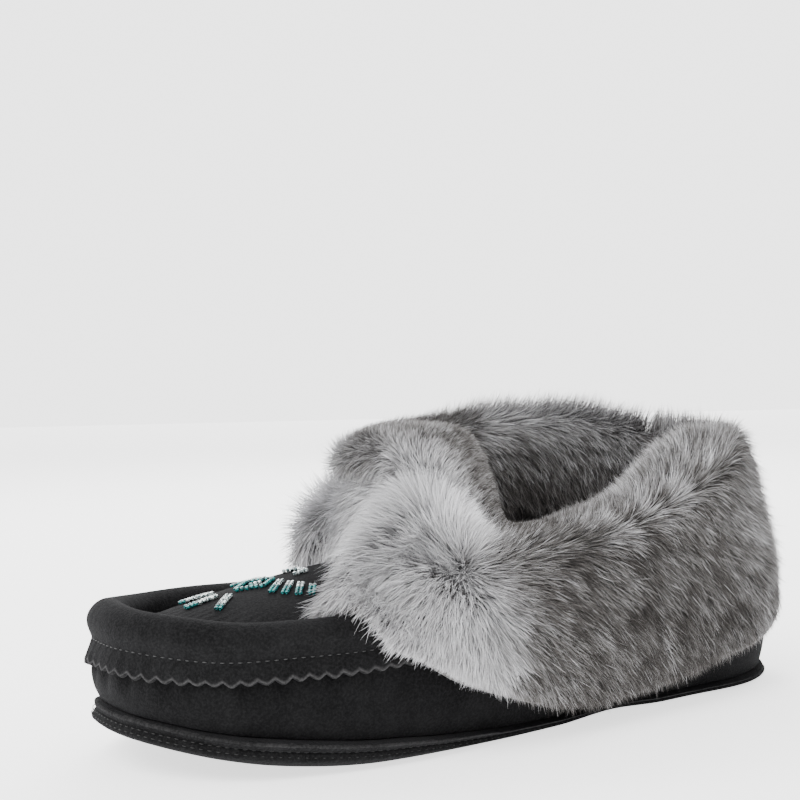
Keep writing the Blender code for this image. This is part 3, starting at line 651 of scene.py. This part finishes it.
def cuff_skin(angles, keep):
    """The cuff's skin from the hem over its crest into the mouth, and its seat on the upper."""
    chains = sections(angles)
    steps = facing(chains)
    share = share_of(angles)
    outer = np.sin(angles) >= 0
    hem = np.where(outer, read(hem_shares, outer_hems, share), read(hem_shares, inner_hems, share))
    turn = np.degrees(turn_of(angles) % (2 * math.pi))
    turn = np.minimum(turn, 360 - turn)
    depth = fur_depth * read(cuff_angles, cuff_depths, turn) * keep
    low_depth = fur_depth * read(cuff_angles, cuff_low_depths, turn) * keep
    shoulder = fur_depth * read(cuff_angles, cuff_shoulders, turn) * keep
    crest = fur_crest * np.where(outer, read(cuff_angles, outer_crests, turn),
                                 read(cuff_angles, inner_crests, turn))
    reach = fur_depth * read(cuff_angles, cuff_reaches, turn) * keep
    rim, out = mouth_of(angles)

    def off_upper(along, height):
        """Points part of the way from the hem to the rim, at a height off the upper."""
        row = (hem + (rim_row - hem) * along)[:, None]
        return between(chains, row)[:, 0] + between(steps, row)[:, 0] * height

    lift = skin_lift + seat_gap + apron_wall
    points = [off_upper(0, lift + hem_lift)]
    for along, full in ((0.08, 0.0), (0.34, 0.55), (0.66, 0.95)):
        thick = apron_wall + low_depth + (depth - low_depth) * full
        points.append(off_upper(along, thick[:, None]))
    rise = (crest - rim[:, 2]) * np.where(outer, 0.5 + 0.5 * keep, 1.0)
    rise = rise * (1 - heel_droop * (1 - ease(share, 0.05, 0.20)))
    for size, outward, upward in ((depth, 0.98, 0.56), (shoulder, 1.0, 0.94), (reach, -0.45, 0.88),
                                  (reach, -1.0, 0.42), (reach, -0.7, 0.0)):
        point = rim + out * (size * outward)[:, None]
        point[:, 2] += rise * upward + (mouth_lift if upward == 0 else 0)
        points.append(point)
    seat = [off_upper(along, lift) for along in np.linspace(1, 0, 8)]
    return np.stack(points, axis=1), np.stack(seat, axis=1)


around = whole_round(300)
points, seat = cuff_skin(around, 0.89 + 0.10 * ease(share_of(around), *vamp_span))
skin_table = between(points, np.linspace(0, 8, 41))
for _ in range(8):
    skin_table[:, 1:-1] = (skin_table[:, :-2] + 2 * skin_table[:, 1:-1] + skin_table[:, 2:]) / 4
for _ in range(10):
    before, after = np.roll(skin_table, 1, axis=0), np.roll(skin_table, -1, axis=0)
    skin_table[:, 3:] = (before + 2 * skin_table + after)[:, 3:] / 4
ring = np.concatenate([skin_table, seat, skin_table[:, :1]], axis=1)
down = drape("fur_skin", ring)
fluff, shader, work = new_finish("fur_down", roughness=0.95, sheen_weight=0.25)
place = work.make("ShaderNodeTexCoord", output="Object")
lumps = place.cloud(150, 4.0, 0.65)
fine = place.cloud(900, 3.0, 0.7)
shade = lumps.step(0.3, 0.7) * 0.5 + fine * 0.5
join(shade.blend((0.016, 0.014, 0.013), (0.085, 0.079, 0.077)), shader, "Base Color")
height = lumps * 0.6 + fine * 0.4
bump = work.make("ShaderNodeBump", None, {"Strength": 0.9, "Distance": 0.0016, "Height": height})
join(bump, shader, "Normal")
down.data.materials.append(fluff)
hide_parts("fur_cuff")
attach(down, "root")

# The hair
# Long soft guard hair of the rabbit, dark and brownish at its root and silver at its tip, in fine locks.
# It lies away from the darts: down and back under a parting on each side, up over it to the mouth.
hair_length = 0.0088
hair_width = 0.00021
hairs_in_tuft = 150
hairs_in_lock = 8
stray_share = 0.05
stray_size = 1.22
knee_share = 0.48
root_depth = 0.0008
floor_gap = 0.0012
hair_top = 0.1128
side_start = 0.018
mouth_level = 0.66
mouth_centre = 0.084
dart_core = 0.0045
dart_reach = 0.026
darts = np.array([[0.053, 0.004, 0.059], [-0.047, 0.008, 0.059]])
notch = np.array([0.021, 0.037, 0.062])
parting_places = (-0.030, 0.004, 0.035, 0.047, 0.063, 0.079, 0.115, 0.138, 0.160)
parting_heights = (0.060, 0.059, 0.059, 0.059, 0.061, 0.066, 0.079, 0.096, 0.104)
skin_reach = np.cumsum(np.linalg.norm(np.diff(skin_table, axis=1), axis=2), axis=1)


def unit(v):
    """The same directions at length one."""
    return v / np.maximum(np.linalg.norm(v, axis=1, keepdims=True), 1e-12)


def scatter(rng, number, keep_place):
    """Random places on the skin, by weight: point, way out, way up, level and distance from the hem."""
    table = skin_table[:, 1:-3]
    reach = skin_reach[:, :-3]
    rows = table.shape[1]
    normals = facing(table)
    table, normals, reach = (np.concatenate([v, v[:1]]) for v in (table, normals, reach))
    quads = np.cross(table[1:, 1:] - table[:-1, :-1], table[:-1, 1:] - table[1:, :-1])
    centres = (table[1:, 1:] + table[:-1, :-1]) / 2
    levels = np.broadcast_to(np.arange(rows - 1) / (rows - 1), centres.shape[:2])
    area = np.linalg.norm(quads, axis=2) * keep_place(centres, levels)
    cell = rng.choice(area.size, number, p=(area / area.sum()).ravel())
    i, j = np.divmod(cell, rows - 1)
    u, v = rng.random(number), rng.random(number)

    def mix(values):
        a, b = (u[:, None], v[:, None]) if values.ndim == 3 else (u, v)
        low = values[i, j] * (1 - a) + values[i + 1, j] * a
        high = values[i, j + 1] * (1 - a) + values[i + 1, j + 1] * a
        return low * (1 - b) + high * b

    up = unit(table[i, j + 1] - table[i, j])
    return mix(table), unit(mix(normals)), up, (j + v) / (rows - 1), mix(reach)


def comb(place, out, up, level, reach):
    """The way that hair lies at a place, how far it stands off, its length there and its tone."""
    x, y, z = place.T

    # It lies down and back below the parting, up above it and down again inside the mouth.
    inside = ease(level, 0.78, 0.92)
    crest = np.exp(-((level - 0.73) / 0.12) ** 2)
    height = np.interp(y, parting_places, parting_heights)
    above = ease(z - height, -0.006, 0.007) * ease(y, -0.012, 0.006) * (1 - inside)
    parting = np.exp(-((z - height) / 0.0045) ** 2) * ease(y, 0.0, 0.02) * (1 - inside)
    lie = up * (2 * above + 2 * inside - 1)[:, None]
    slant = np.where(y > 0.004, 0.75 - 0.58 * ease(y, 0.03, 0.12), -0.9 * ease(-y, -0.004, 0.03))
    lie[:, 1] += slant * (1 - inside) * (1 - 0.2 * above)

    # It lies away from the dart of its own side.
    dart = darts[np.where(x > 0, 0, 1)]
    gap = place - dart
    distance = np.linalg.norm(gap, axis=1)
    near = np.exp(-(distance / dart_core) ** 2) * (1 - inside)
    pull = 2.4 * np.exp(-(distance / dart_reach) ** 2) * (1 - inside)
    lie = lie + unit(gap) * pull[:, None]
    lie = unit(lie - out * np.sum(lie * out, axis=1, keepdims=True))
    downness = np.maximum(-np.sum(lie * up, axis=1), 0.25)

    # How much a place belongs to each part of the cuff: heel, front lobe and its roll, edge on the apron,
    # far crest, inner side of the lobe, low edge, top, heel's upper corner, middle and the near rim.
    heel = ease(y, 0.105, 0.150)
    front = 1 - ease(y, -0.006, 0.030)
    bulge = (1 - ease(y, -0.004, 0.016)) * ease(z, 0.052, 0.066) * (1 - inside)
    apron_side = (1 - ease(y, -0.002, 0.014)) * (1 - ease(np.abs(x), 0.026, 0.040))
    far = (x < 0) * crest * ease(y, 0.020, 0.040)
    mouth = np.hypot(x / (mouth_width / 2), (y - mouth_centre) / (mouth_length / 2))
    ahead = 1 - ease(y, 0.040, 0.054)
    # deep: the inner face of the front lobe, whose hair is darkened below as painted shade.
    deep = (1 - ease(mouth, 1.42, 1.78)) * ease(level, 0.38, 0.52) * ahead
    short = (1 - ease(mouth, 1.55, 2.05)) * ease(z, 0.058, 0.066) * ahead
    short = short * (1 - 0.6 * ease(-x, 0.012, 0.032))
    fringe = apron_side * (1 - ease(z, 0.056, 0.070))
    crown = (1 - ease(y, 0.000, 0.020)) * ease(z, 0.083, 0.093) * (1 - inside)
    corner = ease(y, 0.122, 0.150) * ease(z, 0.078, 0.092)
    middle = heel * ease(z, 0.040, 0.055) * (1 - ease(z, 0.078, 0.090))
    rim = ease(level, 0.52, 0.62) * (1 - ease(level, 0.86, 0.98)) * (x > 0)
    rim = rim * ease(y, 0.018, 0.032) * (1 - ease(y, 0.075, 0.105))
    dip = np.exp(-(np.linalg.norm(place - notch, axis=1) / 0.011) ** 2)

    # How it stands off, and its length, which ends before the hem.
    stand = (0.60 + 0.34 * crest + 0.10 * parting + 0.10 * inside + 0.4 * near + 0.34 * bulge
             + 0.05 * far + 0.12 * rim - 0.28 * fringe)
    stand = stand + heel * (1 - crest) * (0.18 * ease(z, 0.045, 0.065) - 0.22 * (1 - ease(z, 0.030, 0.050)))
    size = (1 - 0.50 * near + 0.65 * bulge + 0.30 * far - 0.40 * corner + 0.30 * middle
            - 0.75 * crown + 0.75 * fringe - 0.25 * heel * (1 - ease(z, 0.030, 0.055)))
    size = hair_length * size * (1 - 0.20 * rim) * (1 - 0.55 * dip) * (1 - 0.46 * short)
    limit = np.maximum(reach * (0.95 - 0.14 * heel) - 0.0013, 0.0012) + 0.0130 * apron_side
    size = np.minimum(size, limit / downness)

    # Light on the lobe and above the parting, dark in the darts, inside and low on the side, with painted
    # shade on the inner face of the lobe and a painted shadow low towards the heel.
    back = ease(y, 0.085, 0.130)
    low = 1 - ease(z, 0.008, 0.030)
    tone = (0.21 + 0.58 * front + 0.17 * back + 0.30 * above * (1 - 0.8 * back)
            - 0.05 * parting - 0.45 * near + 0.10 * far)
    tone = tone * (1 - inside) + (0.34 - 0.16 * ease(level, 0.84, 1.0)) * inside - 0.05 * low
    shadow = 0.07 * ease(y, 0.050, 0.110) * (1 - ease(z, 0.030, 0.062))
    # Painted shade darkens the inner face of the lobe, and a painted shadow darkens the low side towards the
    # heel.
    tone = tone * (1 - 0.56 * deep * (1 - inside)) - shadow
    return lie, stand, size, tone


def gather(place, rng, count, keep_place):
    """The tip and the shade of the lock that each place belongs to, of a number scattered on the skin."""
    middles = scatter(rng, count, keep_place)
    lie, stand, size, _ = comb(*middles)
    lie = unit(lie + np.cross(middles[1], lie) * rng.normal(0, 0.26, count)[:, None])
    stand = stand + rng.normal(0, 0.16, count)
    heading = lie * np.cos(stand)[:, None] + middles[1] * np.sin(stand)[:, None]
    tips = middles[0] + heading * (size * rng.uniform(0.85, 1.15, count))[:, None]
    tree = KDTree(count)
    for k, point in enumerate(middles[0]):
        tree.insert(point, k)
    tree.balance()
    mine = np.array([tree.find(point)[1] for point in place])
    return tips[mine], rng.normal(0, 1, count)[mine]


def grow(name, keep_place, count, seed):
    """Hair on one part of the skin: tapered ribbons, drawn together into locks."""
    rng = np.random.default_rng(seed)
    place, out, up, level, reach = scatter(rng, count, keep_place)
    lie, stand, size, tone = comb(place, out, up, level, reach)
    tuft_tip, tuft_shade = gather(place, rng, count // hairs_in_tuft, keep_place)
    lock_tip, lock_shade = gather(place, rng, count // hairs_in_lock, keep_place)
    lie = unit(lie + np.cross(out, lie) * rng.normal(0, 0.36, count)[:, None])
    stand = stand + rng.normal(0, 0.17, count)
    stray = rng.random(count) < stray_share
    size = size * np.where(stray, stray_size, rng.uniform(0.62, 1.10, count))
    tip = place + (lie * np.cos(stand)[:, None] + out * np.sin(stand)[:, None]) * size[:, None]
    draw = np.where(stray, 0.1, rng.uniform(0.22, 0.58, count))[:, None]
    tip = tip + (lock_tip - tip) * draw
    tip = tip + (tuft_tip - tip) * draw * 0.10
    heading = unit(tip - place)
    tip = place + heading * size[:, None]
    tip[:, 2] = np.clip(tip[:, 2], floor_gap, hair_top)
    early = unit(heading + out * 0.45)
    knee = place + early * (size * knee_share)[:, None]
    root = place - out * root_depth
    flat = unit(np.cross(heading, out) + out * rng.normal(0, 0.45, count)[:, None])
    half = (hair_width / 2 * rng.uniform(0.70, 1.30, count))[:, None]
    thin = half * 0.8
    shape = np.stack([root - flat * thin, root + flat * thin, knee - flat * half, knee + flat * half,
                      tip], axis=1)
    mixed = 0.50 + 0.50 * ease(place[:, 1], -0.004, 0.030)
    tone = tone + (0.095 * lock_shade + 0.080 * tuft_shade + rng.normal(0, 0.160, count)) * mixed
    tone = np.clip(tone, 0.02, 0.97)
    mesh = bpy.data.meshes.new(name)
    mesh.vertices.add(count * 5)
    mesh.vertices.foreach_set("co", shape.ravel())
    loops = (np.arange(count)[:, None] * 5 + [0, 1, 3, 2, 2, 3, 4]).ravel()
    mesh.loops.add(len(loops))
    mesh.loops.foreach_set("vertex_index", loops)
    mesh.polygons.add(count * 2)
    mesh.polygons.foreach_set("loop_start", (np.arange(count)[:, None] * 7 + [0, 4]).ravel())
    mesh.polygons.foreach_set("loop_total", np.tile([4, 3], count))
    mesh.polygons.foreach_set("use_smooth", np.ones(count * 2, bool))
    ends = np.array([[0, 0.01], [1, 0.01], [1, knee_share], [0, knee_share], [0, knee_share],
                     [1, knee_share], [0.5, 0.99]])
    chart = np.broadcast_to(ends, (count, 7, 2)).copy()
    chart[:, :, 0] = tone[:, None] + chart[:, :, 0] * 0.012
    layer = mesh.uv_layers.new(name="OFBake")
    layer.uv.foreach_set("vector", chart.ravel())
    mesh.update(calc_edges=True)
    hair = bpy.data.objects.new(name, mesh)
    bpy.context.collection.objects.link(hair)
    mesh.materials.append(guard_hair)
    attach(hair, "root")


guard_hair, shader, work = new_finish("guard_hair", roughness=0.65, sheen_weight=0.05)
shader.inputs["Specular IOR Level"].default_value = 0.28
chart = work.make("ShaderNodeTexCoord", output="UV")
tone = work.make("ShaderNodeSeparateXYZ", None, {0: chart})
along = work.make("ShaderNodeSeparateXYZ", None, {0: chart}, output=1)
tip_stops = ((0.0, (0.024, 0.020, 0.018)), (0.20, (0.112, 0.102, 0.096)), (0.42, (0.27, 0.262, 0.258)),
             (0.68, (0.52, 0.515, 0.525)), (1.0, (0.88, 0.88, 0.90)))
root_stops = ((0.0, (0.007, 0.0058, 0.0050)), (0.40, (0.022, 0.0195, 0.018)),
              (0.68, (0.24, 0.237, 0.240)), (1.0, (0.52, 0.515, 0.525)))
tips = tone.make("ShaderNodeValToRGB", {"stops": tip_stops}, {0: tone})
roots = tone.make("ShaderNodeValToRGB", {"stops": root_stops}, {0: tone})
join(along.step(0.34, 0.92).blend(roots, tips), shader, "Base Color")


def at_front(place, level):
    """The front lobe, evenly."""
    return (place[..., 1] < side_start) * 1.0


def at_outer_side(place, level):
    """The outer side up to the crest, evenly."""
    return (place[..., 1] >= side_start) * (place[..., 0] >= 0) * (level < mouth_level)


def at_inner_side(place, level):
    """The inner side, twice as dense near the crest."""
    return (place[..., 1] >= side_start) * (place[..., 0] < 0) * (level < mouth_level) * (1 + (level > 0.50))


def at_mouth(place, level):
    """The inside, denser near the crest."""
    return (place[..., 1] >= side_start) * (level >= mouth_level) * (1 + 1.2 * (level < 0.82))


grow("hair_front", at_front, 62000, 31)
grow("hair_outer_side", at_outer_side, 66000, 32)
grow("hair_inner_side", at_inner_side, 42000, 33)
grow("hair_mouth", at_mouth, 62000, 34)

# The beads
# Round glass seed beads, threaded in short rows and sewn down side by side: teal at the outer ends and
# silver-lined for the rest. Rays, a diamond with its eye, two wings and a tail make a plain bird motif.
pattern_start = 0.028
pattern_length = 0.041
bead_sink = 0.00005
ray_size, wing_size, head_size, large_size = 0.00140, 0.00125, 0.00155, 0.00150
apron_tree = BVHTree.FromObject(apron, bpy.context.evaluated_depsgraph_get())


def bead_model(size):
    """One seed bead: a fat ring with its hole along X."""
    bpy.ops.object.select_all(action="DESELECT")
    bpy.ops.mesh.primitive_torus_add(major_segments=12, minor_segments=6, major_radius=size * 0.29,
                                     minor_radius=size * 0.21, rotation=(0, math.pi / 2, 0))
    model = bpy.context.object
    bpy.ops.object.transform_apply(location=True, rotation=True, scale=True)
    bpy.ops.object.mode_set(mode="EDIT")
    bpy.ops.mesh.select_all(action="SELECT")
    bpy.ops.transform.resize(value=(1.9, 1, 1))
    bpy.ops.object.mode_set(mode="OBJECT")
    return model


def glass(name, deep, bright, **constants):
    """Coloured glass with a coat, its own bright colour broken by blotches about a bead wide of a deep
    colour, which is painted shade for the shadowed gaps between the beads.
    """
    material, shader, work = new_finish(name, roughness=0.10, coat_weight=1.0, coat_roughness=0.04,
                                        **constants)
    place = work.make("ShaderNodeTexCoord", output="Object")
    # Bead-sized blotches of painted shade in the deep colour, among the glass's own bright colour.
    join(place.cloud(1300, 1.0).step(0.40, 0.60).blend(deep, bright), shader, "Base Color")
    return material


# Each deep colour is painted shade between the beads; each bright colour is the glass's own.
teal = glass("teal_glass", (0.002, 0.050, 0.060), (0.006, 0.26, 0.25), metallic=0.30)
silver = glass("silver_glass", (0.018, 0.055, 0.060), (0.86, 0.93, 0.92), metallic=0.70)


def bead_row(name, ends, strands, size, tinted):
    """One sewn row: its strands side by side, touching, with the first beads of each tinted."""
    start, end = (np.array(e) for e in ends)
    span = end - start
    span_length = np.linalg.norm(span) * pattern_length
    count = max(3, round(span_length / (size * 0.92)))
    aside = np.array([-span[1], span[0]]) / np.linalg.norm(span) * size / pattern_length
    origins, along, ups, colours = [], [], [], []
    for strand in range(strands):
        shift = aside * (strand - (strands - 1) / 2)
        line, out = [], []
        for k in range(count):
            a, b = start + span * (k + 0.5) / count + shift
            x = -toe_swing * 0.6 + pattern_length * b
            y = (origin_share - 1) * length + pattern_start + pattern_length * a
            point, normal, _, _ = apron_tree.ray_cast(Vector((x, y, 0.098)), Vector((0, 0, -1)))
            line.append(np.array(point) + np.array(normal) * (size / 2 - bead_sink))
            out.append(np.array(normal))
        line, out = np.array(line), np.array(out)
        origins.append(line)
        along.append(np.gradient(line, axis=0))
        ups.append(out)
        colours.append(np.where(np.arange(count) < tinted, 1, 0))
    row = repeat("row_" + name, bead_model(size), np.concatenate(origins), np.concatenate(along),
                 np.concatenate(ups), np.concatenate(colours))
    row.data.materials.append(silver)
    row.data.materials.append(teal)
    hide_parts("beads_" + name)
    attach(row, "root")


bead_row("ray_middle", ((0.00, 0.00), (0.26, 0.00)), 2, large_size, 3)
bead_row("ray_outer", ((0.15, 0.27), (0.32, 0.09)), 2, ray_size, 2)
bead_row("ray_inner", ((0.07, -0.30), (0.27, -0.12)), 2, ray_size, 2)
bead_row("wing_outer_1", ((0.57, 0.28), (0.73, 0.11)), 2, wing_size, 4)
bead_row("wing_outer_2", ((0.64, 0.36), (0.77, 0.20)), 2, wing_size, 4)
bead_row("wing_outer_3", ((0.72, 0.43), (0.82, 0.27)), 2, wing_size, 4)
bead_row("wing_outer_4", ((0.80, 0.48), (0.88, 0.35)), 2, wing_size, 4)
bead_row("wing_inner_1", ((0.52, -0.30), (0.70, -0.12)), 2, wing_size, 4)
bead_row("wing_inner_2", ((0.53, -0.40), (0.70, -0.24)), 2, wing_size, 4)
bead_row("wing_inner_3", ((0.59, -0.46), (0.71, -0.33)), 2, wing_size, 1)
bead_row("wing_inner_4", ((0.63, -0.52), (0.74, -0.42)), 2, wing_size, 1)
corners = ((0.40, 0.00), (0.58, 0.13), (0.72, 0.00), (0.56, -0.15))
for k, corner in enumerate(corners):
    bead_row(f"head_{k + 1}", (corner, corners[(k + 1) % 4]), 1, head_size, 99)
bead_row("eye", ((0.51, 0.0), (0.62, 0.0)), 1, large_size, 1)
tail = ((0.86, 0.05), (0.98, 0.05), (0.95, -0.14), (0.86, -0.16))
for k in range(3):
    bead_row(f"tail_{k + 1}", (tail[k], tail[k + 1]), 1, large_size, 0)

# The floor, the lights and the camera
# A plain pale studio floor under soft light from above, and a low camera close to the outer side.
def glowing(name, colour, strength):
    """A matt surface that also gives white light of its own."""
    material, shader, _ = new_finish(name, roughness=0.9, emission_strength=strength)
    shader.inputs["Base Color"].default_value = (*colour, 1)
    shader.inputs["Emission Color"].default_value = (1, 1, 1, 1)
    return material


bpy.ops.object.select_all(action="DESELECT")
bpy.ops.mesh.primitive_plane_add(size=8)
floor = bpy.context.object
floor.name = "floor"
floor.data.materials.append(glowing("pale_floor", (0.90, 0.90, 0.90), 1.6))

bpy.ops.object.select_all(action="DESELECT")
upright = (math.radians(90), 0, math.radians(58))
bpy.ops.mesh.primitive_plane_add(size=7, location=(-2.7, 1.7, 3.4), rotation=upright)
backdrop = bpy.context.object
backdrop.name = "backdrop"
bpy.ops.object.transform_apply(location=True, rotation=True, scale=True)
backdrop.data.materials.append(glowing("pale_screen", (0, 0, 0), 3.2))

world = bpy.data.worlds.new("studio")
world.use_nodes = True
world.node_tree.nodes["Background"].inputs["Color"].default_value = (1, 1, 1, 1)
world.node_tree.nodes["Background"].inputs["Strength"].default_value = 1.25
bpy.context.scene.world = world


def soft_light(name, place, aim, size, power):
    """A round softbox at a place, turned to what it aims at."""
    bpy.ops.object.light_add(type="AREA", location=place)
    lamp = bpy.context.object
    lamp.name = name
    lamp.data.shape = "DISK"
    lamp.data.size = size
    lamp.data.energy = power
    lamp.rotation_euler = (Vector(place) - Vector(aim)).to_track_quat("Z", "Y").to_euler()


soft_light("key", (0.35, -0.75, 1.05), (0, 0.03, 0.04), 0.8, 16)
soft_light("rim", (-0.9, 0.55, 0.9), (0, 0.05, 0.06), 0.7, 12)
soft_light("fill", (-0.8, -0.7, 0.5), (0, -0.02, 0.06), 0.8, 7)

azimuth, elevation, roll = math.radians(58.6), math.radians(9.0), math.radians(1.35)
target = Vector((0, 0.0302, 0.040))
camera_distance = 0.470
back = Vector((math.sin(azimuth) * math.cos(elevation), -math.cos(azimuth) * math.cos(elevation),
               math.sin(elevation)))
bpy.ops.object.camera_add(location=target + back * camera_distance)
camera = bpy.context.object
camera.rotation_mode = "QUATERNION"
turn = back.to_track_quat("Z", "Y").to_matrix() @ Matrix.Rotation(-roll, 3, "Z")
camera.rotation_quaternion = turn.to_quaternion()
camera.data.sensor_width = 36
camera.data.lens = 62.5
camera.data.shift_x = -0.080
camera.data.shift_y = 0.241
camera.data.clip_start = 0.01
bpy.context.scene.camera = camera
